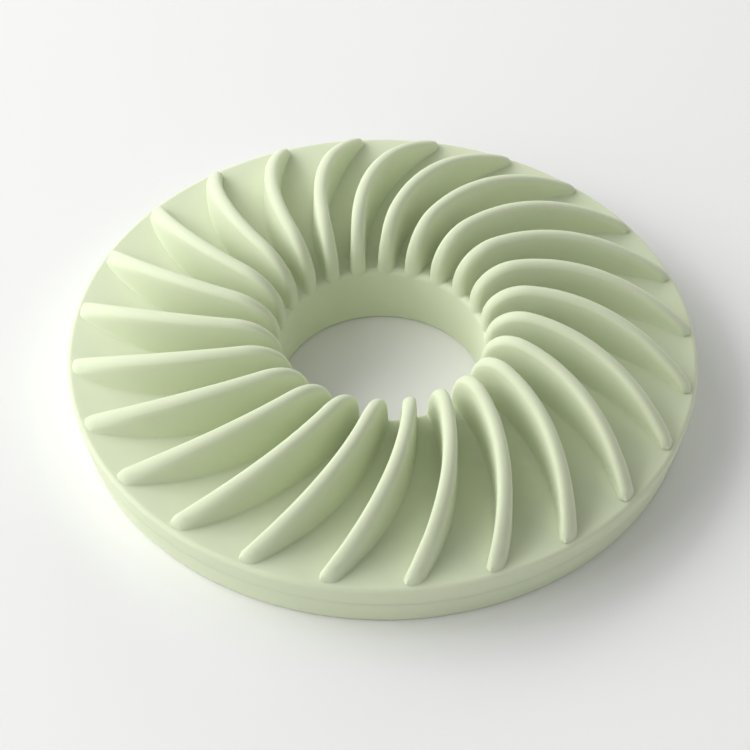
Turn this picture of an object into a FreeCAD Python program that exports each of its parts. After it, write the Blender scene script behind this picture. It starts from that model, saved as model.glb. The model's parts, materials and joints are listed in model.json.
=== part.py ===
import FreeCAD, Part

# Ring vibration dampener for racket strings: a soft moulded ring with a bore through its middle and a wreath of
# swept vanes on its front face. A back flange and a front flange lie lip to lip round a hub sleeve. The strings
# pass between the lips and rest in the seat that the flanges leave open against the sleeve.
#
# Millimetres. The origin is the centre of the back face, on the bore's axis. +Z points to the vanes, and the
# tip of vane_01 lies on +X. Seen from +Z, a vane runs inward from its tip while turning counter-clockwise.

import math
import os

import Sketcher

PARTS_FOLDER = "parts"

# Driving dimensions: name, value, meaning. Lengths in mm, angles in degrees.
DIMENSIONS = [
    ("outer_radius", 15.0, "front edge of the rim"),
    ("rim_inset", 0.57, "how far the rim leans in from its front edge to the back face"),
    ("rim_height", 2.7, "front edge of the rim above the back face"),
    ("rim_round", 0.2, "round on the front edge of the rim"),
    ("foot_round", 0.15, "round on the back edge of the rim"),
    ("bore_radius", 4.85, "bore through the hub sleeve"),
    ("face_rise", 0.47, "front edge of the bore above the rim's front edge"),
    ("sleeve_wall", 1.35, "hub sleeve from the bore to the string seat"),
    ("lip_height", 1.45, "plane where the two flanges meet"),
    ("lip_chamfer", 0.06, "bevel on each lip, the fine line round the rim"),
    ("string_diameter", 1.3, "main string that the seat is made for"),
    ("string_clearance", 0.05, "added to the string for the seat's height"),
    ("seat_spare", 0.2, "added to the string for the seat's depth"),
    ("vane_count", 24, "vanes in the wreath"),
    ("vane_root_width", 0.78, "vane at the level of the rim's front edge"),
    ("vane_draft", 1.5, "lean of each vane side, so that the moulding leaves its mould"),
    ("vane_rise", 3.05, "highest line of the vanes above the rim's front edge"),
    ("vane_shoulder_radius", 2.2, "round from the peak down to the inner end"),
    ("vane_nose_radius", 0.6, "round from the crest down to the tip"),
    ("vane_crest_round", 0.3, "round along both edges of the crest, as far as the crest is wide enough"),
    ("vane_crest_flat", 0.02, "least flat between the two rounds of the crest"),
    ("vane_sweep", 24.3, "turn about the axis from the tip to the inner end"),
    ("vane_arc_radius", 12.1, "radius of the vane's curve, seen from the front"),
    ("vane_tip_setback", 0.07, "flat left between the rim's round and a vane's tip"),
    ("vane_bore_setback", 0.05, "ledge left between the bore and a vane's inner end"),
    ("cutter_margin", 1.0, "how far cutting outlines reach past the vane"),
]

# Derived dimensions, as expressions of the sheet's cells.
WAIST = "(Sheet.bore_radius + Sheet.sleeve_wall)"
SEAT_HALF = "(Sheet.string_diameter + Sheet.string_clearance) / 2"
SEAT_RIM = f"({WAIST} + Sheet.string_diameter + Sheet.seat_spare)"
SEAT_FLOOR = f"(Sheet.lip_height - {SEAT_HALF})"
SEAT_ROOF = f"(Sheet.lip_height + {SEAT_HALF})"
FOOT_RADIUS = "(Sheet.outer_radius - Sheet.rim_inset)"
RIM_SLOPE = "(Sheet.rim_inset / Sheet.rim_height)"
LIP_RADIUS = f"({FOOT_RADIUS} + Sheet.lip_height * {RIM_SLOPE})"
BORE_EDGE_HEIGHT = "(Sheet.rim_height + Sheet.face_rise)"
FACE_SLOPE = "(Sheet.face_rise / (Sheet.outer_radius - Sheet.bore_radius))"
WAIST_FACE_HEIGHT = f"({BORE_EDGE_HEIGHT} - Sheet.sleeve_wall * {FACE_SLOPE})"
VANE_INNER_RADIUS = "(Sheet.bore_radius + Sheet.vane_bore_setback)"
VANE_TIP_RADIUS = "(Sheet.outer_radius - Sheet.rim_round - Sheet.vane_tip_setback)"
VANE_PEAK_HEIGHT = "(Sheet.rim_height + Sheet.vane_rise)"
CREST_WIDTH = "(Sheet.vane_root_width - 2 * Sheet.vane_rise * tan(Sheet.vane_draft * 1 deg))"
CREST_ROUND = f"min(Sheet.vane_crest_round; ({CREST_WIDTH} - Sheet.vane_crest_flat) / 2)"

# Point numbers within a Sketcher line or arc, and Sketcher's own geometry.
START, END, CENTRE = 1, 2, 3
ORIGIN = (-1, START)
X_AXIS = -1


def make_sheet(doc):
    """The spreadsheet of driving dimensions, one aliased cell each."""
    sheet = doc.addObject("Spreadsheet::Sheet", "Sheet")
    for row, (alias, value, meaning) in enumerate(DIMENSIONS, start=1):
        sheet.set(f"A{row}", meaning)
        sheet.set(f"B{row}", str(value))
        sheet.setAlias(f"B{row}", alias)
    doc.recompute()
    return sheet


def make_body(doc, label):
    """An empty body, named after its sub-part."""
    body = doc.addObject("PartDesign::Body", label)
    body.Label = label
    return body


def make_sketch(body, name, plane_role):
    """A sketch on one of the body's own origin planes."""
    sketch = body.newObject("Sketcher::SketchObject", name)
    plane = next(item for item in body.Origin.OriginFeatures if item.Role == plane_role)
    sketch.AttachmentSupport = [(plane, "")]
    sketch.MapMode = "FlatFace"
    return sketch


def bind(sketch, name, constraint, expression):
    """Add a named dimension to a sketch and drive it by an expression."""
    index = sketch.addConstraint(constraint)
    sketch.renameConstraint(index, name)
    sketch.setExpression(f"Constraints.{name}", expression)


def place_across(sketch, name, point, expression):
    """Hold a point's distance along X from the sketch's origin."""
    first = sketch.getPoint(*point).x
    bind(sketch, name, Sketcher.Constraint("DistanceX", *ORIGIN, *point, first), expression)


def place_up(sketch, name, point, expression):
    """Hold a point's distance along Y from the sketch's origin. Zero puts it on the X axis."""
    first = sketch.getPoint(*point).y
    if expression == "0":
        sketch.addConstraint(Sketcher.Constraint("PointOnObject", *point, X_AXIS))
    else:
        bind(sketch, name, Sketcher.Constraint("DistanceY", *ORIGIN, *point, first), expression)


def place_point(sketch, name, point, x_expression, y_expression):
    """Hold a point at (x, y) from the sketch's origin."""
    place_across(sketch, f"{name}_x", point, x_expression)
    place_up(sketch, f"{name}_y", point, y_expression)


def add_polygon(sketch, corners):
    """Close a polygon through the named corners, each a pair of expressions."""
    count = len(corners)
    seeds = []
    for index in range(count):
        turn = 2 * math.pi * index / count
        seeds.append(FreeCAD.Vector(8 + 3 * math.cos(turn), 4 + 3 * math.sin(turn), 0))
    first = sketch.GeometryCount
    for index in range(count):
        sketch.addGeometry(Part.LineSegment(seeds[index], seeds[(index + 1) % count]), False)
    for index, (name, x_expression, y_expression) in enumerate(corners):
        before = first + (index - 1) % count
        sketch.addConstraint(Sketcher.Constraint("Coincident", before, END, first + index, START))
        place_point(sketch, name, (first + index, START), x_expression, y_expression)


def revolve_section(body, corners):
    """Revolve a polygon about the bore's axis."""
    sketch = make_sketch(body, f"{body.Label}_section", "XZ_Plane")
    add_polygon(sketch, corners)
    turned = body.newObject("PartDesign::Revolution", f"{body.Label}_turned")
    turned.Profile = sketch
    turned.ReferenceAxis = (sketch, ["V_Axis"])
    turned.Angle = 360
    sketch.Document.recompute()
    return turned


def round_edges(body, base, name, edges, radius_expression):
    """Round the listed edges of a feature."""
    rounded = body.newObject("PartDesign::Fillet", name)
    rounded.Base = (base, edges)
    rounded.setExpression("Radius", radius_expression)
    body.Document.recompute()
    return rounded


def circle_edge(feature, radius, height):
    """Name of the feature's circular edge with this radius at this height."""
    close = 1e-4
    for index, edge in enumerate(feature.Shape.Edges, start=1):
        box = edge.BoundBox
        flat = box.ZLength < close
        if flat and abs(box.ZMin - height) < close and abs(box.XMax - radius) < close:
            return f"Edge{index}"
    raise ValueError(f"{feature.Label} has no edge of radius {radius} at {height}")


def make_back_flange(doc, sheet):
    """Disc behind the strings: back face, lower half of the rim and floor of the string seat."""
    body = make_body(doc, "back_flange")
    turned = revolve_section(body, [
        ("heel", WAIST, "0"),
        ("foot", FOOT_RADIUS, "0"),
        ("lip_outside", f"{LIP_RADIUS} - Sheet.lip_chamfer * {RIM_SLOPE}", "Sheet.lip_height - Sheet.lip_chamfer"),
        ("lip_edge", f"{LIP_RADIUS} - Sheet.lip_chamfer", "Sheet.lip_height"),
        ("lip_inside", SEAT_RIM, "Sheet.lip_height"),
        ("seat_outside", SEAT_RIM, SEAT_FLOOR),
        ("seat_root", WAIST, SEAT_FLOOR),
    ])
    foot = circle_edge(turned, sheet.outer_radius - sheet.rim_inset, 0)
    round_edges(body, turned, "foot_rounded", [foot], "Sheet.foot_round")
    return body


def make_front_flange(doc, sheet):
    """Disc in front of the strings: upper half of the rim, roof of the string seat and floor of the vanes."""
    body = make_body(doc, "front_flange")
    turned = revolve_section(body, [
        ("seat_root", WAIST, SEAT_ROOF),
        ("seat_outside", SEAT_RIM, SEAT_ROOF),
        ("lip_inside", SEAT_RIM, "Sheet.lip_height"),
        ("lip_edge", f"{LIP_RADIUS} - Sheet.lip_chamfer", "Sheet.lip_height"),
        ("lip_outside", f"{LIP_RADIUS} + Sheet.lip_chamfer * {RIM_SLOPE}", "Sheet.lip_height + Sheet.lip_chamfer"),
        ("front_edge", "Sheet.outer_radius", "Sheet.rim_height"),
        ("face_root", WAIST, WAIST_FACE_HEIGHT),
    ])
    front = circle_edge(turned, sheet.outer_radius, sheet.rim_height)
    round_edges(body, turned, "rim_rounded", [front], "Sheet.rim_round")
    return body


def make_hub_sleeve(doc):
    """Sleeve that joins the flanges, with the bore inside and the strings' rest outside."""
    body = make_body(doc, "hub_sleeve")
    revolve_section(body, [
        ("bore_foot", "Sheet.bore_radius", "0"),
        ("waist_foot", WAIST, "0"),
        ("waist_face", WAIST, WAIST_FACE_HEIGHT),
        ("bore_edge", "Sheet.bore_radius", BORE_EDGE_HEIGHT),
    ])
    return body


def arc_centre(start, end, radius):
    """Centre of the arc of this radius that runs counter-clockwise from start to end."""
    middle = (start + end) * 0.5
    chord = end - start
    height = math.sqrt(radius ** 2 - (chord.Length / 2) ** 2)
    left = FreeCAD.Vector(-chord.y, chord.x, 0).normalize()
    return middle + left * height


def arc_between(centre, radius, start_angle, end_angle):
    """Counter-clockwise arc between two angles in radians."""
    circle = Part.Circle(centre, FreeCAD.Vector(0, 0, 1), radius)
    return Part.ArcOfCircle(circle, start_angle, end_angle)


def direction(vector):
    """Angle of a plane vector, in radians."""
    return math.atan2(vector.y, vector.x)


def draw_vane_plan(body, sheet):
    """The vane seen from the front: a curved band of even width, longer than the vane at both ends."""
    sketch = make_sketch(body, "vane_plan", "XY_Plane")
    sketch.setExpression(".AttachmentOffset.Base.z", "Sheet.rim_height")
    tip_radius = sheet.outer_radius - sheet.rim_round - sheet.vane_tip_setback
    inner_radius = sheet.bore_radius + sheet.vane_bore_setback
    sweep = math.radians(sheet.vane_sweep)
    tip = FreeCAD.Vector(tip_radius, 0, 0)
    inner = FreeCAD.Vector(inner_radius * math.cos(sweep), inner_radius * math.sin(sweep), 0)
    radius = sheet.vane_arc_radius
    half_width = sheet.vane_root_width / 2
    centre = arc_centre(tip, inner, radius)
    tip_angle = direction(tip - centre)
    inner_angle = direction(inner - centre)
    spread = sheet.cutter_margin / radius

    # Middle line of the vane, held by its two ends and its radius.
    middle = sketch.addGeometry(arc_between(centre, radius, tip_angle, inner_angle), True)
    ray = sketch.addGeometry(Part.LineSegment(FreeCAD.Vector(0, 0, 0), inner), True)
    sketch.addConstraint(Sketcher.Constraint("Coincident", ray, START, *ORIGIN))
    sketch.addConstraint(Sketcher.Constraint("Coincident", ray, END, middle, END))
    bind(sketch, "inner_reach", Sketcher.Constraint("Distance", ray, inner_radius), VANE_INNER_RADIUS)
    bind(sketch, "sweep", Sketcher.Constraint("Angle", X_AXIS, START, ray, START, sweep),
         "Sheet.vane_sweep * 1 deg")
    place_point(sketch, "tip", (middle, START), VANE_TIP_RADIUS, "0")
    bind(sketch, "curve", Sketcher.Constraint("Radius", middle, radius), "Sheet.vane_arc_radius")

    # Outline: two arcs round the same centre, closed past both ends.
    sides = []
    for name, sign in (("far", 1), ("near", -1)):
        side_radius = radius + sign * half_width
        side_arc = arc_between(centre, side_radius, tip_angle - spread, inner_angle + spread)
        side = sketch.addGeometry(side_arc, False)
        sketch.addConstraint(Sketcher.Constraint("Coincident", side, CENTRE, middle, CENTRE))
        bind(sketch, f"{name}_side", Sketcher.Constraint("Radius", side, side_radius),
             f"Sheet.vane_arc_radius + {sign} * Sheet.vane_root_width / 2")
        sides.append(side)
    far, near = sides
    tip_reach = f"{VANE_TIP_RADIUS} + Sheet.cutter_margin"
    inner_reach = f"{VANE_INNER_RADIUS} * cos(Sheet.vane_sweep * 1 deg) - Sheet.cutter_margin"
    for name, end, reach in (("tip", START, tip_reach), ("inner", END, inner_reach)):
        cap_line = Part.LineSegment(sketch.getPoint(far, end), sketch.getPoint(near, end))
        cap = sketch.addGeometry(cap_line, False)
        sketch.addConstraint(Sketcher.Constraint("Coincident", cap, START, far, end))
        sketch.addConstraint(Sketcher.Constraint("Coincident", cap, END, near, end))
        sketch.addConstraint(Sketcher.Constraint("Vertical", cap))
        place_across(sketch, f"{name}_cap", (cap, START), reach)
    return sketch


def draw_vane_elevation(body, sheet):
    """The vane's side view, from the axis outward, inside the frame of what is cut away round it."""
    sketch = make_sketch(body, "vane_elevation", "YZ_Plane")
    inner_radius = sheet.bore_radius + sheet.vane_bore_setback
    tip_radius = sheet.outer_radius - sheet.rim_round - sheet.vane_tip_setback
    peak = sheet.rim_height + sheet.vane_rise
    shoulder = sheet.vane_shoulder_radius
    nose = sheet.vane_nose_radius
    peak_radius = inner_radius + shoulder
    run = tip_radius - nose - peak_radius
    rise = sheet.vane_rise
    crest = (run ** 2 + rise ** 2 - nose ** 2) / (2 * (rise - nose))
    shoulder_centre = FreeCAD.Vector(peak_radius, peak - shoulder, 0)
    crest_centre = FreeCAD.Vector(peak_radius, peak - crest, 0)
    nose_centre = FreeCAD.Vector(tip_radius - nose, sheet.rim_height, 0)
    lean = direction(nose_centre - crest_centre)
    inner_foot = FreeCAD.Vector(inner_radius, sheet.rim_height + sheet.face_rise, 0)
    tip_foot = FreeCAD.Vector(tip_radius, sheet.rim_height, 0)

    # The front face of the ring, which the vane stands on.
    face = sketch.addGeometry(Part.LineSegment(inner_foot, tip_foot), True)
    place_point(sketch, "face_inner", (face, START), "Sheet.bore_radius", BORE_EDGE_HEIGHT)
    place_point(sketch, "face_outer", (face, END), "Sheet.outer_radius", "Sheet.rim_height")

    wall_top = FreeCAD.Vector(inner_radius, peak - shoulder, 0)
    wall = sketch.addGeometry(Part.LineSegment(inner_foot, wall_top), False)
    shoulder_arc = sketch.addGeometry(arc_between(shoulder_centre, shoulder, math.pi / 2, math.pi), False)
    crest_arc = sketch.addGeometry(arc_between(crest_centre, crest, lean, math.pi / 2), False)
    nose_arc = sketch.addGeometry(arc_between(nose_centre, nose, 0, lean), False)
    foot = sketch.addGeometry(Part.LineSegment(tip_foot, inner_foot), False)

    sketch.addConstraint([
        Sketcher.Constraint("Vertical", wall),
        Sketcher.Constraint("Tangent", wall, END, shoulder_arc, END),
        Sketcher.Constraint("Tangent", shoulder_arc, START, crest_arc, END),
        Sketcher.Constraint("Tangent", crest_arc, START, nose_arc, END),
        Sketcher.Constraint("Coincident", nose_arc, START, foot, START),
        Sketcher.Constraint("Coincident", foot, END, wall, START),
        Sketcher.Constraint("Vertical", shoulder_arc, CENTRE, shoulder_arc, START),
        Sketcher.Constraint("Horizontal", nose_arc, CENTRE, nose_arc, START),
        Sketcher.Constraint("PointOnObject", wall, START, face),
        Sketcher.Constraint("PointOnObject", foot, START, face),
    ])
    place_across(sketch, "inner_end", (wall, START), VANE_INNER_RADIUS)
    place_across(sketch, "tip", (foot, START), VANE_TIP_RADIUS)
    place_up(sketch, "peak", (crest_arc, END), VANE_PEAK_HEIGHT)
    bind(sketch, "shoulder", Sketcher.Constraint("Radius", shoulder_arc, shoulder),
         "Sheet.vane_shoulder_radius")
    bind(sketch, "nose", Sketcher.Constraint("Radius", nose_arc, nose), "Sheet.vane_nose_radius")

    frame_inside = "Sheet.bore_radius / 2"
    frame_outside = "Sheet.outer_radius + 2 * Sheet.cutter_margin"
    frame_top = f"{VANE_PEAK_HEIGHT} + 2 * Sheet.cutter_margin"
    add_polygon(sketch, [
        ("frame_heel", frame_inside, "0"),
        ("frame_foot", frame_outside, "0"),
        ("frame_tip", frame_outside, frame_top),
        ("frame_peak", frame_inside, frame_top),
    ])
    return sketch


def crest_edges(feature):
    """Names of the edges along both sides of the vane, apart from each side's longest, on which it stands."""
    shape = feature.Shape
    names = []
    for side in sorted(shape.Faces, key=lambda face: face.Area)[-2:]:
        standing = max(side.Edges, key=lambda edge: edge.Length)
        crest = [edge for edge in side.Edges if not edge.isSame(standing)]
        for index, edge in enumerate(shape.Edges, start=1):
            if any(edge.isSame(border) for border in crest):
                names.append(f"Edge{index}")
    return names


def make_vane(doc, sheet):
    """The first vane: a curved band, drawn out with draft, cut to its side view and rounded along its crest."""
    body = make_body(doc, "vane_01")
    plan = draw_vane_plan(body, sheet)
    band = body.newObject("PartDesign::Pad", "vane_band")
    band.Profile = plan
    band.setExpression("Length", "Sheet.vane_rise + Sheet.cutter_margin")
    band.setExpression("TaperAngle", "-Sheet.vane_draft * 1 deg")
    doc.recompute()
    elevation = draw_vane_elevation(body, sheet)
    trimmed = body.newObject("PartDesign::Groove", "vane_trimmed")
    trimmed.Profile = elevation
    trimmed.ReferenceAxis = (elevation, ["V_Axis"])
    trimmed.Angle = 360
    doc.recompute()
    if trimmed.Shape.Volume > 0.8 * band.Shape.Volume:
        raise ValueError("the side view cut too little from the vane")
    edges = crest_edges(trimmed)
    round_edges(body, trimmed, "vane_rounded", edges, CREST_ROUND)
    return body


def make_vane_copies(doc, master, count):
    """The other vanes, each a linked copy of the first, turned about the bore's axis."""
    copies = []
    for index in range(1, count):
        body = make_body(doc, f"vane_{index + 1:02d}")
        linked = body.newObject("PartDesign::FeatureBase", f"vane_{index + 1:02d}_linked")
        linked.BaseFeature = master
        body.Tip = linked
        axis = FreeCAD.Vector(0, 0, 1)
        body.Placement = FreeCAD.Placement(FreeCAD.Vector(0, 0, 0), FreeCAD.Rotation(axis, 1))
        body.setExpression(".Placement.Rotation.Angle", f"360 deg * {index} / Sheet.vane_count")
        copies.append(body)
    doc.recompute()
    return copies


def check_objects(doc):
    """Stop if any object of the document failed to compute."""
    for item in doc.Objects:
        if "Invalid" in item.State or "Error" in item.State:
            raise ValueError(f"{item.Label} failed: {item.State}")


def check_shapes(bodies):
    """Stop if a sub-part has no sound single solid."""
    for body in bodies:
        shape = body.Shape
        if shape.isNull() or not shape.isValid() or len(shape.Solids) != 1:
            raise ValueError(f"{body.Label} has no sound solid")


def export(bodies):
    """Write each sub-part to a file of its own."""
    os.makedirs(PARTS_FOLDER, exist_ok=True)
    for body in bodies:
        body.Shape.exportStep(os.path.join(PARTS_FOLDER, f"{body.Label}.step"))
        print(f"{body.Label}: {body.Shape.Volume:.3f} mm3")


def main():
    """Build the dampener and write its sub-parts."""
    doc = FreeCAD.newDocument("ring_dampener")
    sheet = make_sheet(doc)
    ring = [
        make_back_flange(doc, sheet),
        make_front_flange(doc, sheet),
        make_hub_sleeve(doc),
    ]
    first_vane = make_vane(doc, sheet)
    vanes = [first_vane] + make_vane_copies(doc, first_vane, int(sheet.vane_count))
    doc.recompute()
    bodies = ring + vanes
    check_objects(doc)
    check_shapes(bodies)
    export(bodies)


main()
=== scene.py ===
import json
import math

import bmesh
import bpy
import numpy as np
from bpy.props import FloatProperty, FloatVectorProperty, IntProperty, PointerProperty
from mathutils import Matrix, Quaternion, Vector


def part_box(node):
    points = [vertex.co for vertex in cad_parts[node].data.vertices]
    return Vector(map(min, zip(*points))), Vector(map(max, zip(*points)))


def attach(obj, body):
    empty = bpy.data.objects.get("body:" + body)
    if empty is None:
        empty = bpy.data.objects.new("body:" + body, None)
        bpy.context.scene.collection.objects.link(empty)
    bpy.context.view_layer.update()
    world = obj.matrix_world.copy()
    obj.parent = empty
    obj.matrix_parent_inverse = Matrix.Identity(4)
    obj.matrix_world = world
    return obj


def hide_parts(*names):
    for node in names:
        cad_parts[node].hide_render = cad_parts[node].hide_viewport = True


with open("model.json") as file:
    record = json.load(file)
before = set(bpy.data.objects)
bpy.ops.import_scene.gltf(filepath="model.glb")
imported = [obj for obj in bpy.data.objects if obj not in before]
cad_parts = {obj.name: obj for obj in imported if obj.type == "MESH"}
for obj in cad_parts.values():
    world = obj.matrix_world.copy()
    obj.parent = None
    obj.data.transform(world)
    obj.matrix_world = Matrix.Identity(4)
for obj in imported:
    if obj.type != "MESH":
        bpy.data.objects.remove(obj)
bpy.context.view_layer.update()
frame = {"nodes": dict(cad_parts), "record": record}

# Ring vibration dampener for racket strings, in one soft silicone: a front ring, a back ring, a bore sleeve
# and a wreath of swept vanes. Metres. The bore's axis is Z and the vanes stand on the +Z side.

bl_info = {
    "name": "Ring Vibration Dampener",
    "version": (1, 0, 0),
    "blender": (4, 5, 0),
    "location": "View3D > Sidebar > Dampener",
    "description": "Builds a soft ring dampener with a wreath of swept vanes",
    "category": "Add Mesh",
}

MM = 0.001
SLEEVE_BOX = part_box("hub_sleeve")
BACK_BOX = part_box("back_flange")
VANE_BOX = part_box("vane_01")
VANE_NODES = sorted(name for name in frame["nodes"] if name.startswith("vane_"))
BORE = next(mount for mount in frame["record"]["mounts"] if mount["name"] == "bore")

# Limits of the meshes, which aren't sizes of the real part
MERGE_DISTANCE = 1e-7           # points closer than this are one
SHARP_ANGLE = math.radians(50)  # edges sharper than this keep a hard line
ARC_STEP = math.radians(6)      # longest turn between two points of a rounded corner
LEAD = 0.12                     # from the end of an arc to one extra point, as a share of its radius
SETTLE_ROUNDS = 12              # steps that bring a vane's points onto its surface
LONGEST_MOVE = 0.2 * MM         # most that one such step may move a point
ON_RING = 0.001 * MM            # a settled point this near the ring's face lies on it
SINK = 0.0015 * MM              # how far such a point goes under the face, so that the two don't flicker


def length(name, description, default, low=0.0):
    """A length a user can change, in metres."""
    return FloatProperty(
        name=name, description=description, default=default, min=low,
        subtype="DISTANCE", unit="LENGTH", precision=5,
    )


def angle(name, description, degrees):
    """An angle a user can change."""
    return FloatProperty(
        name=name, description=description, default=math.radians(degrees), subtype="ANGLE",
    )


def share(name, description, default):
    """A plain number from 0 to 1."""
    return FloatProperty(
        name=name, description=description, default=default, min=0.0, max=1.0, subtype="FACTOR",
    )


def strength(name, description, default):
    """A plain number from 0 up."""
    return FloatProperty(name=name, description=description, default=default, min=0.0)


def whole(name, description, default, low):
    """A whole number a user can change."""
    return IntProperty(name=name, description=description, default=default, min=low)


class RingSizes(bpy.types.PropertyGroup):
    """Section of the ring."""

    outer_radius: length("Outer radius", "Front edge of the rim, before it is rounded", 15.0 * MM)
    rim_inset: length("Rim inset", "How far the rim leans in from its front edge to the back face", 0.57 * MM)
    rim_height: length("Rim height", "Front edge of the rim above the back face", 2.7 * MM)
    rim_round: length("Rim round", "Round on the front edge of the rim", 0.22 * MM)
    foot_round: length("Foot round", "Round on the back edge of the rim", 0.15 * MM)
    bore_radius: length("Bore radius", "Bore through the sleeve", BORE["dims"]["r_mm"] * MM)
    bore_edge_height: length(
        "Bore edge height", "Front edge of the bore above the back face", SLEEVE_BOX[1].z)
    bore_front_round: length("Bore front round", "Round on the front edge of the bore", 0.3 * MM)
    bore_back_round: length("Bore back round", "Round on the back edge of the bore", 0.12 * MM)
    waist_radius: length("Waist radius", "Outside of the sleeve, where the strings rest", SLEEVE_BOX[1].x)
    lip_height: length("Lip height", "Plane where the two rings meet", BACK_BOX[1].z)
    lip_bead: length(
        "Lip bead", "How far the fine line where the two rings meet stands out", 0.025 * MM)
    lip_bead_half: length("Half lip bead", "Half the height of that fine line", 0.14 * MM)
    seat_half_height: length("Seat half height", "Half the height of the seat for the strings", 0.675 * MM)
    seat_radius: length("Seat radius", "How far out the seat for the strings reaches", 7.7 * MM)
    facets: whole("Facets", "Facets round the axis", 360, 24)


class VaneSizes(bpy.types.PropertyGroup):
    """Shape of one vane, and how many there are."""

    count: whole("Count", "Vanes in the wreath", len(VANE_NODES), 1)
    root_width: length("Root width", "Width at the foot", 0.78 * MM)
    draft: angle("Draft", "Lean of each side", 1.5)
    peak_height: length("Peak height", "Highest line above the back face", VANE_BOX[1].z)
    shoulder_radius: length("Shoulder radius", "Round from the peak down to the bore", 2.2 * MM)
    nose_radius: length("Nose radius", "Round from the crest down to the tip", 0.6 * MM)
    crest_round: length(
        "Crest round", "Round along both edges of the crest, at the tip", 0.34 * MM)
    peak_round: length(
        "Peak round", "The same round over the high part of the vane", 0.29 * MM)
    round_fade: length(
        "Round fade", "Distance from the tip over which one round becomes the other", 4.0 * MM)
    root_fillet: length("Root fillet", "Hollow round where the vane grows out of the ring", 0.06 * MM)
    bore_fillet: length("Bore fillet", "The same hollow round at the edge of the bore", 0.1 * MM)
    fillet_fade: length(
        "Fillet fade", "Distance from the bore over which one hollow round becomes the other", 2.0 * MM)
    tip_radius: length("Tip radius", "Distance of the tip from the axis", 14.7 * MM)
    sweep: angle("Sweep", "Turn about the axis from the tip to the inner end", 24.3)
    curve_radius: length("Curve radius", "Radius of the vane's curve, seen from the front", 12.1 * MM)
    stations: whole("Stations", "Cuts along each side of a vane", 60, 8)
    end_stations: whole("End stations", "Cuts round each end of a vane, an even number", 12, 4)


class SiliconeFinish(bpy.types.PropertyGroup):
    """Colour and surface of the silicone."""

    colour: FloatVectorProperty(
        name="Colour", description="Body colour", subtype="COLOR", size=3, min=0.0, max=1.0,
        default=(0.676, 0.735, 0.534),
    )
    cloud_size: length("Cloud size", "Size of the faint colour clouds", 6.0 * MM)
    cloud_depth: share("Cloud depth", "Strength of the faint colour clouds", 0.05)
    grain_size: length("Grain size", "Size of the fine mould grain", 0.09 * MM)
    grain_depth: length("Grain depth", "Height of the fine mould grain", 0.004 * MM)
    roughness: share("Roughness", "How matt the surface is", 0.72)
    roughness_spread: share("Roughness spread", "How far handling moves the roughness", 0.08)
    gloss: share("Gloss", "Strength of the reflections, 0.5 is plain silicone", 0.08)
    refraction: FloatProperty(
        name="Refraction", description="Refractive index of silicone", default=1.41, min=1.0)
    glow: share("Glow", "How much light spreads under the surface", 0.25)
    glow_depth: length("Glow depth", "How far that light spreads", 0.5 * MM)
    glow_reach: FloatVectorProperty(
        name="Glow reach", description="Share of that depth for red, green and blue", size=3, min=0.0, max=1.0,
        default=(1.0, 0.95, 0.85),
    )


class StageSettings(bpy.types.PropertyGroup):
    """Camera, floor and lights."""

    azimuth: angle("Azimuth", "Turn of the camera about the axis", -5.22)
    elevation: angle("Elevation", "Height of the camera above the horizon", 46.47)
    distance: length("Distance", "Camera from the centre of the back face", 158.77 * MM)
    lens: FloatProperty(
        name="Lens", description="Focal length in millimetres on the camera's sensor", default=158.4, min=1.0)
    sensor: FloatProperty(
        name="Sensor", description="Width of the sensor in millimetres", default=36.0, min=1.0)
    roll: angle("Roll", "Turn of the camera about its own view", 0.5)
    aim: FloatVectorProperty(
        name="Aim", description="Point that the camera looks at", subtype="TRANSLATION", unit="LENGTH", size=3,
        precision=6, default=(-0.268 * MM, 0.933 * MM, 0.0),
    )
    floor_size: length("Floor size", "Width of the square floor", 1200.0 * MM)
    floor_gap: length("Floor gap", "Floor below the back face", 0.02 * MM)
    light_distance: length("Light distance", "Each soft light from the middle of the floor", 350.0 * MM)
    light_size: length("Light size", "Width of each soft light", 240.0 * MM)
    light_power: strength("Light power", "Brightness of all the soft lights together", 1.07)
    surroundings: strength("Surroundings", "Brightness of the pale room round the stage", 0.3)


def blend(start, end, amount):
    """Value an amount, 0 to 1, of the way from start to end."""
    return start + (end - start) * amount


def rounded_outline(corners):
    """Points of a closed outline through the corners (across, up, round).

    Each corner with a round becomes an arc of that radius.
    """
    points = []
    count = len(corners)
    for index, (across, up, radius) in enumerate(corners):
        here = Vector((across, up))
        back = Vector(corners[index - 1][:2]) - here
        ahead = Vector(corners[(index + 1) % count][:2]) - here
        if radius == 0:
            points.append(tuple(here))
            continue
        back.normalize()
        ahead.normalize()
        half = math.acos(max(-1.0, min(1.0, back.dot(ahead)))) / 2
        reach = radius / math.tan(half)
        centre = here + (back + ahead).normalized() * (radius / math.sin(half))
        first = here + back * reach
        turn = math.pi - 2 * half
        way = 1 if back.x * ahead.y - back.y * ahead.x < 0 else -1
        steps = max(2, math.ceil(turn / ARC_STEP))
        points.append(tuple(first + back * radius * LEAD))
        spoke = first - centre
        for number in range(steps + 1):
            bend = way * turn * number / steps
            points.append((
                centre.x + spoke.x * math.cos(bend) - spoke.y * math.sin(bend),
                centre.y + spoke.x * math.sin(bend) + spoke.y * math.cos(bend),
            ))
        points.append(tuple(here + ahead * (reach + radius * LEAD)))
    return np.array(points)


def rim_radius(ring, height):
    """Radius of the rim's side at a height."""
    return ring.outer_radius - ring.rim_inset + height * (ring.rim_inset / ring.rim_height)


def face_height(ring, radius):
    """Height of the front face at a radius."""
    fall = (ring.bore_edge_height - ring.rim_height) / (ring.outer_radius - ring.bore_radius)
    return ring.bore_edge_height - (radius - ring.bore_radius) * fall


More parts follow.
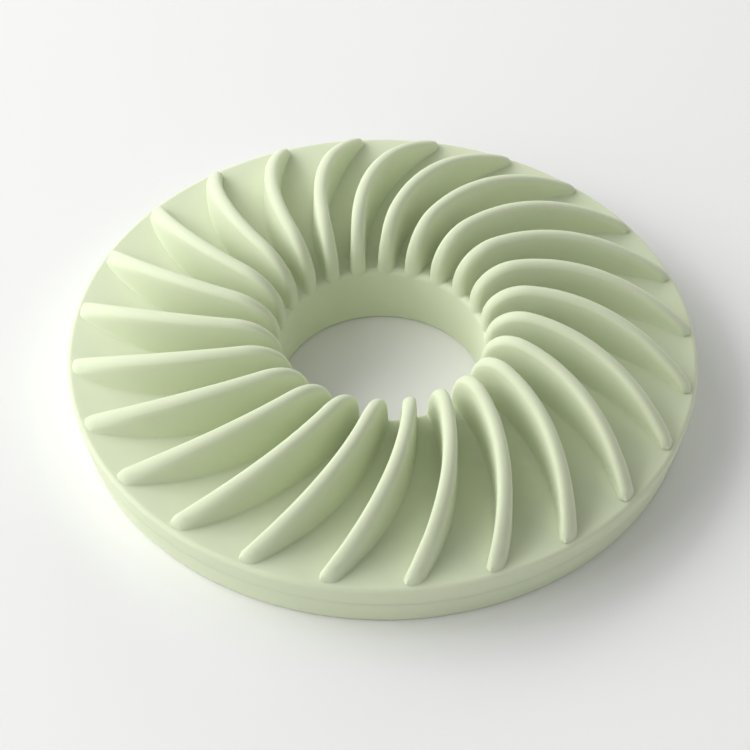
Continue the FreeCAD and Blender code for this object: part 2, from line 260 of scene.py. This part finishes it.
def lip_corners(ring, way):
    """Corners of half the bead where the rings meet: its crest, then its foot above (1) or below (-1)."""
    foot = ring.lip_height + way * ring.lip_bead_half
    return [
        (rim_radius(ring, ring.lip_height) + ring.lip_bead, ring.lip_height, 0.0),
        (rim_radius(ring, foot), foot, ring.lip_bead_half),
    ]


def ring_outline(ring):
    """Section of the whole ring, which the vanes grow out of."""
    return rounded_outline([
        (ring.bore_radius, 0.0, 0.0),
        (rim_radius(ring, 0.0), 0.0, 0.0),
        (ring.outer_radius, ring.rim_height, ring.rim_round),
        (ring.bore_radius, ring.bore_edge_height, ring.bore_front_round),
    ])


def build_mesh(name, points, faces):
    """A closed mesh with its faces turned outward, smooth apart from its sharp edges."""
    mesh = bpy.data.meshes.new(name)
    mesh.from_pydata([tuple(point) for point in points], [], faces)
    work = bmesh.new()
    work.from_mesh(mesh)
    bmesh.ops.remove_doubles(work, verts=work.verts, dist=MERGE_DISTANCE)
    bmesh.ops.recalc_face_normals(work, faces=work.faces)
    work.to_mesh(mesh)
    work.free()
    mesh.shade_smooth()
    mesh.set_sharp_from_angle(angle=SHARP_ANGLE)
    return mesh


def turn_outline(name, outline, facets):
    """A closed outline of (radius, height) turned about the Z axis."""
    around = np.linspace(0, 2 * math.pi, facets, endpoint=False)
    points = np.stack([
        np.outer(np.cos(around), outline[:, 0]),
        np.outer(np.sin(around), outline[:, 0]),
        np.tile(outline[:, 1], (facets, 1)),
    ], axis=2).reshape(-1, 3)
    per_turn = len(outline)
    faces = []
    for turn in range(facets):
        after = (turn + 1) % facets
        for index in range(per_turn):
            following = (index + 1) % per_turn
            faces.append((
                turn * per_turn + index, after * per_turn + index,
                after * per_turn + following, turn * per_turn + following,
            ))
    return build_mesh(name, points, faces)


def add_piece(context, name, mesh, nodes):
    """Show a mesh as a silicone piece of the dampener, in place of its CAD nodes."""
    old = bpy.data.objects.get(name)
    if old is not None:
        bpy.data.objects.remove(old)
    piece = bpy.data.objects.new(name, mesh)
    context.scene.collection.objects.link(piece)
    mesh.materials.clear()
    mesh.materials.append(silicone_material(context.scene.dampener_silicone))
    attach(piece, "root")
    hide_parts(*nodes)


def add_noise(tree, label, scale, detail, roughness):
    """A noise texture on the object's own coordinates."""
    coordinates = tree.nodes.new("ShaderNodeTexCoord")
    noise = tree.nodes.new("ShaderNodeTexNoise")
    noise.label = label
    noise.inputs["Scale"].default_value = scale
    noise.inputs["Detail"].default_value = detail
    noise.inputs["Roughness"].default_value = roughness
    tree.links.new(coordinates.outputs["Object"], noise.inputs["Vector"])
    return noise


def add_tint(tree, noise, first, second, shader):
    """Colour that a noise moves between two shades, linked to a shader."""
    tint = tree.nodes.new("ShaderNodeMix")
    tint.data_type = "RGBA"
    tint.inputs["A"].default_value = (*first, 1.0)
    tint.inputs["B"].default_value = (*second, 1.0)
    tree.links.new(noise.outputs["Fac"], tint.inputs["Factor"])
    tree.links.new(tint.outputs["Result"], shader.inputs["Base Color"])


def silicone_material(finish):
    """Matt pastel silicone with faint colour clouds, a fine mould grain and a soft glow under the surface."""
    material = bpy.data.materials.get("silicone") or bpy.data.materials.new("silicone")
    material.use_nodes = True
    tree = material.node_tree
    tree.nodes.clear()
    output = tree.nodes.new("ShaderNodeOutputMaterial")
    shader = tree.nodes.new("ShaderNodeBsdfPrincipled")
    tree.links.new(shader.outputs["BSDF"], output.inputs["Surface"])

    clouds = add_noise(tree, "Colour clouds", scale=1 / finish.cloud_size, detail=3.0, roughness=0.55)
    body = Vector(finish.colour)
    add_tint(tree, clouds, body * (1 - finish.cloud_depth), body * (1 + finish.cloud_depth), shader)

    smears = add_noise(tree, "Handling", scale=3 / finish.cloud_size, detail=4.0, roughness=0.6)
    matt = tree.nodes.new("ShaderNodeMapRange")
    matt.inputs["To Min"].default_value = finish.roughness - finish.roughness_spread
    matt.inputs["To Max"].default_value = finish.roughness + finish.roughness_spread
    tree.links.new(smears.outputs["Fac"], matt.inputs["Value"])
    tree.links.new(matt.outputs["Result"], shader.inputs["Roughness"])

    grain = add_noise(tree, "Mould grain", scale=1 / finish.grain_size, detail=2.0, roughness=0.6)
    bump = tree.nodes.new("ShaderNodeBump")
    bump.inputs["Strength"].default_value = 0.6
    bump.inputs["Distance"].default_value = finish.grain_depth
    tree.links.new(grain.outputs["Fac"], bump.inputs["Height"])
    tree.links.new(bump.outputs["Normal"], shader.inputs["Normal"])

    shader.inputs["IOR"].default_value = finish.refraction
    shader.inputs["Specular IOR Level"].default_value = finish.gloss
    shader.inputs["Subsurface Weight"].default_value = finish.glow
    shader.inputs["Subsurface Radius"].default_value = finish.glow_reach
    shader.inputs["Subsurface Scale"].default_value = finish.glow_depth
    return material


def outline_distance(outline, across, up):
    """Distance from a closed outline, negative inside it."""
    start, end = outline, np.roll(outline, -1, axis=0)
    edge = end - start
    to_x, to_y = across[:, None] - start[:, 0], up[:, None] - start[:, 1]
    along = np.clip((to_x * edge[:, 0] + to_y * edge[:, 1]) / (edge ** 2).sum(axis=1), 0, 1)
    gap = np.sqrt(((to_x - along * edge[:, 0]) ** 2 + (to_y - along * edge[:, 1]) ** 2).min(axis=1))
    level = np.where(edge[:, 1] == 0, 1, edge[:, 1])
    crosses = (start[:, 1] > up[:, None]) != (end[:, 1] > up[:, None])
    left = across[:, None] < start[:, 0] + edge[:, 0] * to_y / level
    inside = (crosses & left).sum(axis=1) % 2 == 1
    return np.where(inside, -gap, gap)


def meet_rounded(first, second, radius):
    """Distance from what two shapes share, with their edge rounded."""
    over = np.hypot(np.maximum(first + radius, 0), np.maximum(second + radius, 0))
    return np.minimum(-radius, np.maximum(first, second)) + over


def join_rounded(first, second, radius):
    """Distance from two shapes together, with a hollow fillet where they meet."""
    under = np.hypot(np.maximum(radius - first, 0), np.maximum(radius - second, 0))
    return np.maximum(radius, np.minimum(first, second)) - under


def slope_of(distance, points):
    """Direction in which a distance grows at each point."""
    step = 0.001 * MM
    parts = []
    for axis in range(3):
        nudge = np.zeros(3)
        nudge[axis] = step
        parts.append((distance(points + nudge) - distance(points - nudge)) / (2 * step))
    return np.stack(parts, axis=1)


class VaneForm:
    """The rule that one vane's surface follows. Its tip lies on +X."""

    def __init__(self, ring, vane):
        self.ring, self.vane = ring, vane
        tip = Vector((vane.tip_radius, 0.0))
        inner = Vector((math.cos(vane.sweep), math.sin(vane.sweep))) * ring.bore_radius
        chord = inner - tip
        left = Vector((-chord.y, chord.x)).normalized()
        drop = math.sqrt(vane.curve_radius ** 2 - (chord.length / 2) ** 2)
        self.centre = (tip + inner) / 2 + left * drop
        self.section = ring_outline(ring)
        self.profile = self.side_profile()
        buried = ring.lip_height
        self.side = np.vstack([[ring.bore_radius, buried], self.profile, [vane.tip_radius, buried]])

    def side_profile(self):
        """The vane's side view as points (radius, height), from the bore over the crest to the tip."""
        ring, vane = self.ring, self.vane
        shoulder, nose, peak = vane.shoulder_radius, vane.nose_radius, vane.peak_height
        peak_radius = ring.bore_radius + shoulder
        run = vane.tip_radius - nose - peak_radius
        rise = peak - ring.rim_height
        crest = (run ** 2 + rise ** 2 - nose ** 2) / (2 * (rise - nose))
        lean = math.atan2(crest - rise, run)
        arcs = [
            ((peak_radius, peak - shoulder), shoulder, math.pi, math.pi / 2, 24),
            ((peak_radius, peak - crest), crest, math.pi / 2, lean, 48),
            ((vane.tip_radius - nose, ring.rim_height), nose, lean, 0.0, 20),
        ]
        points = [(ring.bore_radius, face_height(ring, ring.bore_radius))]
        for (across, up), radius, start, end, steps in arcs:
            for turn in np.linspace(start, end, steps + 1):
                points.append((across + radius * math.cos(turn), up + radius * math.sin(turn)))
        return np.array(points)

    def across_band(self, points):
        """Distance from the side walls of the vane, which lean in as they rise."""
        vane = self.vane
        off = np.abs(np.hypot(points[:, 0] - self.centre.x, points[:, 1] - self.centre.y) - vane.curve_radius)
        half = vane.root_width / 2 - (points[:, 2] - self.ring.rim_height) * math.tan(vane.draft)
        return (off - half) * math.cos(vane.draft)

    def vane_distance(self, points):
        """Distance from the vane alone, with both edges of its crest rounded."""
        radius = np.hypot(points[:, 0], points[:, 1])
        side = outline_distance(self.side, radius, points[:, 2])
        inward = np.clip((self.vane.tip_radius - radius) / self.vane.round_fade, 0, 1)
        edge = blend(self.vane.crest_round, self.vane.peak_round, inward)
        return meet_rounded(self.across_band(points), side, edge)

    def ring_distance(self, points):
        """Distance from the ring alone."""
        return outline_distance(self.section, np.hypot(points[:, 0], points[:, 1]), points[:, 2])

    def fillets(self, points):
        """Fillet radius at each point.

        It is full where vane and ring cross squarely and nearly none where one runs on into the other.
        """
        vane = self.vane
        gain, least = 1.5, 0.02
        from_bore = np.hypot(points[:, 0], points[:, 1]) - self.ring.bore_radius
        size = blend(vane.bore_fillet, vane.root_fillet, np.clip(from_bore / vane.fillet_fade, 0, 1))
        vane_slope = slope_of(self.vane_distance, points)
        ring_slope = slope_of(self.ring_distance, points)
        lengths = np.linalg.norm(vane_slope, axis=1) * np.linalg.norm(ring_slope, axis=1)
        alike = (vane_slope * ring_slope).sum(axis=1) / np.maximum(lengths, 1e-9)
        return size * np.clip(gain * (1 - alike), least, 1)

    def settle(self, points):
        """Move points onto the surface of the vane and ring together, and say which way it faces there."""
        least_steepness = 0.25
        for _ in range(SETTLE_ROUNDS):
            radius = self.fillets(points)

            def together(at):
                return join_rounded(self.vane_distance(at), self.ring_distance(at), radius)

            slope = slope_of(together, points)
            steep = np.maximum((slope ** 2).sum(axis=1), least_steepness)
            move = -together(points)[:, None] * slope / steep[:, None]
            reach = np.linalg.norm(move, axis=1)
            move *= np.minimum(1, LONGEST_MOVE / np.maximum(reach, 1e-12))[:, None]
            points = points + move
        return points, slope

    def turn_at(self, radius):
        """Angle on the vane's curve at a distance from the axis."""
        away = self.centre.length
        curve = self.vane.curve_radius
        cosine = (radius ** 2 - away ** 2 - curve ** 2) / (2 * away * curve)
        bearing = math.atan2(self.centre.y, self.centre.x)
        return bearing + math.acos(max(-1.0, min(1.0, cosine)))

    def at(self, turn, off=0.0):
        """Point of the plan at an angle on the vane's curve, moved off it."""
        reach = self.vane.curve_radius + off
        return self.centre + Vector((math.cos(turn), math.sin(turn))) * reach

    def top_at(self, radius):
        """Height of the vane's side view at a distance from the axis."""
        start = int(np.argmax(self.profile[:, 1] >= self.profile[1, 1] - 1e-9))
        return float(np.interp(radius, self.profile[start:, 0], self.profile[start:, 1]))


def vane_levels(form):
    """The closed loops that the vane's mesh is built of, from the skirt on the ring up to the crest.

    Each is (distance off the middle line, height as a share of the vane's height there, end at the bore as
    (radius, height), end at the tip as (radius, height)). These are starting places: every point then settles
    onto the surface.
    """
    ring, vane = form.ring, form.vane
    half, fillet = vane.root_width / 2, max(vane.root_fillet, vane.bore_fillet)
    foot = ring.bore_edge_height
    rise = vane.peak_height - ring.rim_height
    wall_top = vane.peak_height - vane.shoulder_radius
    crest_half = half - rise * math.tan(vane.draft)
    skirt_rows, wall_rows, crest_rows = 5, 5, 7
    hem_out, hem_tip = fillet * 1.12, fillet * 0.9
    hem_drop, hem_tip_drop = 0.75 * MM, 0.1 * MM
    skirt_drop, skirt_pitch, skirt_tip_lift = 0.6 * MM, 0.12 * MM, 0.25
    wall_drop, crest_start = 0.1 * MM, 0.9
    nose_first, nose_middle = 8.0, 40.0
    shoulder_turn, nose_turn = 7.0, 4.0
    closing_strip = 0.03 * MM

    def bore_end(height):
        return (ring.bore_radius, height)

    def shoulder_end(degrees):
        turn = math.radians(degrees)
        return (
            ring.bore_radius + vane.shoulder_radius * (1 - math.cos(turn)),
            wall_top + vane.shoulder_radius * math.sin(turn),
        )

    def tip_end(degrees):
        turn = math.radians(degrees)
        return (
            vane.tip_radius - vane.nose_radius * (1 - math.cos(turn)),
            ring.rim_height + vane.nose_radius * math.sin(turn),
        )

    # hem: on the ring, just outside the fillet
    levels = [(
        half + hem_out, 0.0,
        bore_end(foot - hem_drop), (vane.tip_radius + hem_tip, ring.rim_height - hem_tip_drop),
    )]
    # skirt: the hollow fillet, from flat on the ring to upright
    for step in range(skirt_rows):
        lean = math.pi / 2 * step / (skirt_rows - 1)
        off = half + fillet * (1 - math.sin(lean))
        lift = fillet * (1 - math.cos(lean))
        levels.append((
            off, lift / rise,
            bore_end(foot - skirt_drop + skirt_pitch * step),
            (vane.tip_radius + off - half, ring.rim_height + lift * skirt_tip_lift),
        ))
    # wall: upright, up to where the crest starts to round
    for step in range(1, wall_rows + 1):
        amount = step / wall_rows
        levels.append((
            half, blend(fillet / rise, crest_start, amount),
            bore_end(blend(foot - wall_drop, wall_top, amount)),
            tip_end(blend(nose_first, nose_middle, amount)),
        ))
    # crest: leaning in, up to a strip narrow enough to close
    for step in range(1, crest_rows + 1):
        lean = math.pi / 2 * step / crest_rows
        levels.append((
            crest_half * math.cos(lean) + closing_strip, blend(crest_start, 1.0, math.sin(lean)),
            shoulder_end(shoulder_turn * step), tip_end(nose_middle + nose_turn * step),
        ))
    return levels


def vane_loop(form, level):
    """One closed loop of a vane's mesh, before it settles onto the surface."""
    vane = form.vane
    off, up, (bore_radius, bore_height), (tip_radius, tip_height) = level
    inner_turn = form.turn_at(bore_radius + off)
    tip_turn = form.turn_at(tip_radius - off)

    def height(point):
        """Height of a level over a point of the plan."""
        ground = face_height(form.ring, point.length)
        return ground + up * max(form.top_at(point.length) - ground, 0)

    def end_points(turn, way, end_height, bends):
        """Points round one end, each turned out from the end of the curve by a bend.

        They run from the level's own height at the sides to the end's height at the middle.
        """
        middle = form.at(turn)
        outward = (middle - form.centre).normalized()
        along = Vector((-outward.y, outward.x)) * way
        level_height = height(middle)
        found = []
        for bend in bends:
            point = middle + (along * math.cos(bend) - outward * way * math.sin(bend)) * off
            found.append((*point, blend(level_height, end_height, math.cos(bend) ** 2)))
        return found

    # the loop starts and ends at the middle of the tip, so the tip's points come in two halves
    half_end = vane.end_stations // 2
    step = math.pi / vane.end_stations
    inner_bends = [-math.pi / 2 + step * (number + 0.5) for number in range(vane.end_stations)]
    tip_first = [step * (number + 0.5) for number in range(half_end)]
    tip_last = [-math.pi / 2 + step * (number + 0.5) for number in range(half_end)]
    sides = np.linspace(tip_turn, inner_turn, vane.stations)
    loop = end_points(tip_turn, -1, tip_height, tip_first)
    for turn in sides:
        point = form.at(turn, off)
        loop.append((*point, height(point)))
    loop += end_points(inner_turn, 1, bore_height, inner_bends)
    for turn in reversed(sides):
        point = form.at(turn, -off)
        loop.append((*point, height(point)))
    loop += end_points(tip_turn, -1, tip_height, tip_last)
    return loop


def vane_mesh(ring, vane):
    """One vane with its crest, ends and root fillet, closed underneath inside the ring."""
    form = VaneForm(ring, vane)
    levels = vane_levels(form)
    loops = np.array([vane_loop(form, level) for level in levels])
    per_loop = loops.shape[1]
    settled, slope = form.settle(loops.reshape(-1, 3))
    settled = settled.reshape(loops.shape)
    outward = (slope / np.linalg.norm(slope, axis=1)[:, None]).reshape(loops.shape)
    on_ring = form.ring_distance(settled.reshape(-1, 3)).reshape(loops.shape[:2]) < ON_RING
    settled -= outward * np.where(on_ring, SINK, 0)[..., None]

    # keel: a narrow loop inside the ring, which closes the vane from below
    buried, keel_half = 0.45 * MM, vane.root_width * 0.3
    keel = np.array(vane_loop(form, (
        keel_half, 0.0,
        (ring.bore_radius + buried, 0.0), (vane.tip_radius - buried, 0.0),
    )))
    keel[:, 2] = ring.rim_height - buried
    loops = np.vstack([keel[None], settled])

    faces = []
    for row in range(len(loops) - 1):
        for index in range(per_loop):
            after = (index + 1) % per_loop
            faces.append((
                row * per_loop + index, row * per_loop + after,
                (row + 1) * per_loop + after, (row + 1) * per_loop + index,
            ))
    top = (len(loops) - 1) * per_loop
    for index in range(per_loop // 2 - 1):
        facing = per_loop - 1 - index
        faces.append((top + index, top + index + 1, top + facing - 1, top + facing))
        faces.append((index, facing, facing - 1, index + 1))
    return build_mesh("vane_wreath", loops.reshape(-1, 3), faces)


def wreath_tree():
    """Node tree that repeats a mesh evenly about the Z axis and gives the result its material."""
    tree = bpy.data.node_groups.new("Wreath of vanes", "GeometryNodeTree")
    interface = tree.interface
    interface.new_socket("Geometry", in_out="INPUT", socket_type="NodeSocketGeometry")
    count = interface.new_socket("Count", in_out="INPUT", socket_type="NodeSocketInt")
    count.default_value, count.min_value = len(VANE_NODES), 1
    interface.new_socket("First turn", in_out="INPUT", socket_type="NodeSocketFloat")
    interface.new_socket("Material", in_out="INPUT", socket_type="NodeSocketMaterial")
    interface.new_socket("Geometry", in_out="OUTPUT", socket_type="NodeSocketGeometry")
    nodes, links = tree.nodes, tree.links
    entry, result = nodes.new("NodeGroupInput"), nodes.new("NodeGroupOutput")

    one = nodes.new("GeometryNodeGeometryToInstance")
    links.new(entry.outputs["Geometry"], one.inputs["Geometry"])
    places = nodes.new("GeometryNodePoints")
    links.new(entry.outputs["Count"], places.inputs["Count"])

    pitch = nodes.new("ShaderNodeMath")
    pitch.operation = "DIVIDE"
    pitch.inputs[0].default_value = 2 * math.pi
    links.new(entry.outputs["Count"], pitch.inputs[1])
    number = nodes.new("GeometryNodeInputIndex")
    turn = nodes.new("ShaderNodeMath")
    turn.operation = "MULTIPLY_ADD"
    links.new(number.outputs["Index"], turn.inputs[0])
    links.new(pitch.outputs["Value"], turn.inputs[1])
    links.new(entry.outputs["First turn"], turn.inputs[2])
    about_axis = nodes.new("FunctionNodeAxisAngleToRotation")
    about_axis.inputs["Axis"].default_value = (0.0, 0.0, 1.0)
    links.new(turn.outputs["Value"], about_axis.inputs["Angle"])

    repeat = nodes.new("GeometryNodeInstanceOnPoints")
    links.new(places.outputs["Points"], repeat.inputs["Points"])
    links.new(one.outputs["Instances"], repeat.inputs["Instance"])
    links.new(about_axis.outputs["Rotation"], repeat.inputs["Rotation"])
    solid = nodes.new("GeometryNodeRealizeInstances")
    links.new(repeat.outputs["Instances"], solid.inputs["Geometry"])
    finish = nodes.new("GeometryNodeSetMaterial")
    links.new(solid.outputs["Geometry"], finish.inputs["Geometry"])
    links.new(entry.outputs["Material"], finish.inputs["Material"])
    links.new(finish.outputs["Geometry"], result.inputs["Geometry"])
    return tree


def socket_key(tree, name):
    """Identifier of a node tree's input, by which its modifier knows it."""
    for item in tree.interface.items_tree:
        if item.item_type == "SOCKET" and item.in_out == "INPUT" and item.name == name:
            return item.identifier
    raise ValueError(f"{tree.name} has no input {name}")


class DAMPENER_OT_back_ring(bpy.types.Operator):
    """Add the plain ring behind the strings, with the floor of their seat"""

    bl_idname = "dampener.back_ring"
    bl_label = "Back Ring"

    def execute(self, context):
        ring = context.scene.dampener_ring
        seat_floor = ring.lip_height - ring.seat_half_height
        outline = rounded_outline([
            (ring.waist_radius, 0.0, 0.0),
            (rim_radius(ring, 0.0), 0.0, ring.foot_round),
            *reversed(lip_corners(ring, -1)),
            (ring.seat_radius, ring.lip_height, 0.0),
            (ring.seat_radius, seat_floor, 0.0),
            (ring.waist_radius, seat_floor, 0.0),
        ])
        mesh = turn_outline("back_ring", outline, ring.facets)
        add_piece(context, "back_ring", mesh, ["back_flange"])
        return {"FINISHED"}


class DAMPENER_OT_front_ring(bpy.types.Operator):
    """Add the ring that carries the vanes, with the roof of the strings' seat"""

    bl_idname = "dampener.front_ring"
    bl_label = "Front Ring"

    def execute(self, context):
        ring = context.scene.dampener_ring
        seat_roof = ring.lip_height + ring.seat_half_height
        outline = rounded_outline([
            (ring.waist_radius, seat_roof, 0.0),
            (ring.seat_radius, seat_roof, 0.0),
            (ring.seat_radius, ring.lip_height, 0.0),
            *lip_corners(ring, 1),
            (ring.outer_radius, ring.rim_height, ring.rim_round),
            (ring.waist_radius, face_height(ring, ring.waist_radius), 0.0),
        ])
        mesh = turn_outline("front_ring", outline, ring.facets)
        add_piece(context, "front_ring", mesh, ["front_flange"])
        return {"FINISHED"}


class DAMPENER_OT_bore_sleeve(bpy.types.Operator):
    """Add the sleeve round the bore, which joins the two rings"""

    bl_idname = "dampener.bore_sleeve"
    bl_label = "Bore Sleeve"

    def execute(self, context):
        ring = context.scene.dampener_ring
        outline = rounded_outline([
            (ring.bore_radius, 0.0, ring.bore_back_round),
            (ring.waist_radius, 0.0, 0.0),
            (ring.waist_radius, face_height(ring, ring.waist_radius), 0.0),
            (ring.bore_radius, ring.bore_edge_height, ring.bore_front_round),
        ])
        mesh = turn_outline("bore_sleeve", outline, ring.facets)
        add_piece(context, "bore_sleeve", mesh, ["hub_sleeve"])
        return {"FINISHED"}


class DAMPENER_OT_vane_wreath(bpy.types.Operator):
    """Add the wreath of swept vanes on the front ring"""

    bl_idname = "dampener.vane_wreath"
    bl_label = "Vane Wreath"

    def execute(self, context):
        ring, vane = context.scene.dampener_ring, context.scene.dampener_vane
        single = bpy.data.objects.new("single_vane", vane_mesh(ring, vane))
        context.scene.collection.objects.link(single)
        tree = wreath_tree()
        repeat = single.modifiers.new("Wreath", "NODES")
        repeat.node_group = tree
        repeat[socket_key(tree, "Count")] = vane.count
        repeat[socket_key(tree, "First turn")] = 0.0
        repeat[socket_key(tree, "Material")] = silicone_material(context.scene.dampener_silicone)
        graph = context.evaluated_depsgraph_get()
        mesh = bpy.data.meshes.new_from_object(single.evaluated_get(graph))
        mesh.name = "vane_wreath"
        bpy.data.objects.remove(single)
        bpy.data.node_groups.remove(tree)
        add_piece(context, "vane_wreath", mesh, VANE_NODES)
        return {"FINISHED"}


def pale_floor_material():
    """Pale matt paper, faintly uneven."""
    material = bpy.data.materials.new("pale_floor")
    material.use_nodes = True
    tree = material.node_tree
    shader = tree.nodes["Principled BSDF"]
    mottle = add_noise(tree, "Mottle", scale=30.0, detail=3.0, roughness=0.5)
    add_tint(tree, mottle, (0.86, 0.86, 0.855), (0.9, 0.9, 0.895), shader)
    shader.inputs["Roughness"].default_value = 0.9
    return material


def add_light(context, name, turn, height, power):
    """A round soft light aimed at the middle of the floor.

    Turn is in degrees about the axis from the right, height in degrees above the floor, power in watts.
    """
    stage = context.scene.dampener_stage
    lamp = bpy.data.lights.new(name, "AREA")
    lamp.shape, lamp.size, lamp.energy = "DISK", stage.light_size, power * stage.light_power
    light = bpy.data.objects.new(name, lamp)
    turn, height = math.radians(turn), math.radians(height)
    flat = math.cos(height)
    away = Vector((math.cos(turn) * flat, math.sin(turn) * flat, math.sin(height)))
    light.location = away * stage.light_distance
    light.rotation_mode = "QUATERNION"
    light.rotation_quaternion = (-away).to_track_quat("-Z", "Y")
    context.scene.collection.objects.link(light)


def add_floor(context):
    """A square pale floor just under the back face."""
    stage = context.scene.dampener_stage
    half, low = stage.floor_size / 2, -stage.floor_gap
    corners = [(-half, -half, low), (half, -half, low), (half, half, low), (-half, half, low)]
    mesh = bpy.data.meshes.new("floor")
    mesh.from_pydata(corners, [], [(0, 1, 2, 3)])
    mesh.materials.append(pale_floor_material())
    floor = bpy.data.objects.new("floor", mesh)
    context.scene.collection.objects.link(floor)


def add_camera(context):
    """The camera, turned about the axis and raised above the floor."""
    scene, stage = context.scene, context.scene.dampener_stage
    flat = math.cos(stage.elevation)
    back = Vector((math.sin(stage.azimuth) * flat, -math.cos(stage.azimuth) * flat, math.sin(stage.elevation)))
    camera = bpy.data.objects.new("camera", bpy.data.cameras.new("camera"))
    camera.data.lens, camera.data.sensor_width = stage.lens, stage.sensor
    camera.data.clip_start, camera.data.clip_end = 0.01, 10.0
    camera.location = back * stage.distance
    facing = (Vector(stage.aim) - camera.location).to_track_quat("-Z", "Y")
    camera.rotation_mode = "QUATERNION"
    camera.rotation_quaternion = facing @ Quaternion((0, 0, 1), stage.roll)
    scene.collection.objects.link(camera)
    scene.camera = camera


def add_surroundings(context):
    """A plain pale room round the stage."""
    world = bpy.data.worlds.new("studio")
    world.use_nodes = True
    background = world.node_tree.nodes["Background"]
    background.inputs["Color"].default_value = (1.0, 1.0, 1.0, 1.0)
    background.inputs["Strength"].default_value = context.scene.dampener_stage.surroundings
    context.scene.world = world


class DAMPENER_OT_stage(bpy.types.Operator):
    """Add the pale floor, the soft lights and the camera"""

    bl_idname = "dampener.stage"
    bl_label = "Stage"

    def execute(self, context):
        add_floor(context)
        add_camera(context)
        add_light(context, "left_light", 162, 32, 0.57)
        add_light(context, "left_front_light", 198, 32, 0.31)
        add_light(context, "left_back_light", 126, 32, 0.29)
        add_light(context, "left_high_light", 180, 55, 0.11)
        add_light(context, "left_low_light", 216, 12, 0.11)
        add_light(context, "front_light", 270, 32, 0.04)
        add_light(context, "right_light", 0, 12, 0.14)
        add_light(context, "back_light", 72, 12, 0.28)
        add_surroundings(context)
        context.scene.view_settings.view_transform = "Standard"
        return {"FINISHED"}


class DAMPENER_PT_panel(bpy.types.Panel):
    """Sidebar panel of the dampener"""

    bl_label = "Ring Dampener"
    bl_space_type = "VIEW_3D"
    bl_region_type = "UI"
    bl_category = "Dampener"

    def draw(self, context):
        for name in GROUPS:
            group = getattr(context.scene, name)
            box = self.layout.box()
            for key in group.__annotations__:
                box.prop(group, key)
        for operator in OPERATORS:
            self.layout.operator(operator.bl_idname)


GROUPS = {
    "dampener_ring": RingSizes,
    "dampener_vane": VaneSizes,
    "dampener_silicone": SiliconeFinish,
    "dampener_stage": StageSettings,
}
OPERATORS = (
    DAMPENER_OT_back_ring,
    DAMPENER_OT_front_ring,
    DAMPENER_OT_bore_sleeve,
    DAMPENER_OT_vane_wreath,
    DAMPENER_OT_stage,
)


def register():
    for kind in (*GROUPS.values(), *OPERATORS, DAMPENER_PT_panel):
        bpy.utils.register_class(kind)
    for name, group in GROUPS.items():
        setattr(bpy.types.Scene, name, PointerProperty(type=group))


def unregister():
    for name in GROUPS:
        delattr(bpy.types.Scene, name)
    for kind in (DAMPENER_PT_panel, *reversed(OPERATORS), *GROUPS.values()):
        bpy.utils.unregister_class(kind)


def main():
    """Build the dampener and its stage."""
    register()
    bpy.ops.dampener.back_ring()
    bpy.ops.dampener.front_ring()
    bpy.ops.dampener.bore_sleeve()
    bpy.ops.dampener.vane_wreath()
    bpy.ops.dampener.stage()


if __name__ == "__main__":
    main()
